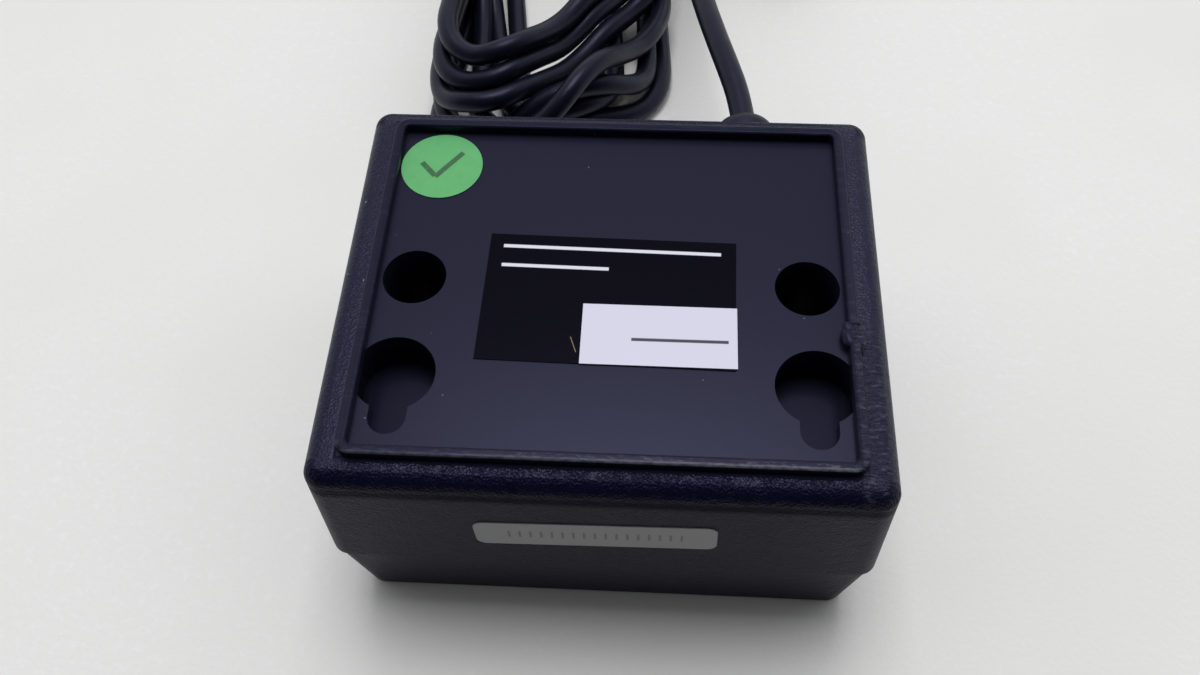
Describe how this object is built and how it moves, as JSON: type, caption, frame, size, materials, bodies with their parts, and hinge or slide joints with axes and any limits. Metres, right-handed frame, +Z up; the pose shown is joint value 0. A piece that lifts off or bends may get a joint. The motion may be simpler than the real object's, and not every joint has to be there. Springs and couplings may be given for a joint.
{
  "type": "rack temperature sensor",
  "caption": "Small black box-shaped temperature sensor for an equipment rack, with keyholes in its back and a corded round plug.",
  "frame": {"origin": "middle of the case's front face, which lies on the table; the cord and its pieces don't count", "axes": "+Z up out of the back of the case, +X to the right along its longer side, +Y away from the viewer towards the cord"},
  "size_m": [0.0669, 0.1772, 0.0357],
  "materials": {
    "case_plastic": "fine leathery moulded texture, smooth panel",
    "screw_steel": "zinc plated",
    "cord_vinyl": "semi-gloss extruded vinyl",
    "grip_vinyl": "moulded vinyl",
    "plug_steel": "nickel plated",
    "plug_insulator": "moulded",
    "pin_brass": "gold flashed",
    "sticker_green": "printed paper",
    "label_black": "printed film",
    "label_white": "printed film",
    "label_silver": "satin film",
    "board_green": "solder mask over glass laminate",
    "chip_black": "moulded epoxy",
    "sensor_white": "moulded",
    "can_metal": "drawn can",
    "ceramic_tan": "sintered ceramic",
    "header_nylon": "moulded nylon",
    "wire_insulation": "extruded"
  },
  "bodies": {
    "root": {"rear_shell": "case_plastic", "front_shell": "case_plastic", "case_screws": "screw_steel", "circuit_board": "board_green", "board_screws": "screw_steel", "sensor_element": "sensor_white", "microcontroller": "chip_black", "capacitor": "can_metal", "crystal": "can_metal", "regulator": "chip_black", "resistors": "chip_black", "small_capacitors": "ceramic_tan", "wire_header": "header_nylon", "wire_plug": "header_nylon", "board_wires": "wire_insulation", "cord_grip": "grip_vinyl", "cord": "cord_vinyl", "cord_hank": "cord_vinyl", "plug_grip": "grip_vinyl", "plug_shell": "plug_steel", "plug_core": "plug_insulator", "plug_pins": "pin_brass", "round_sticker": "sticker_green", "black_label": "label_black", "white_label": "label_white", "side_label": "label_silver"}
  },
  "joints": []
}
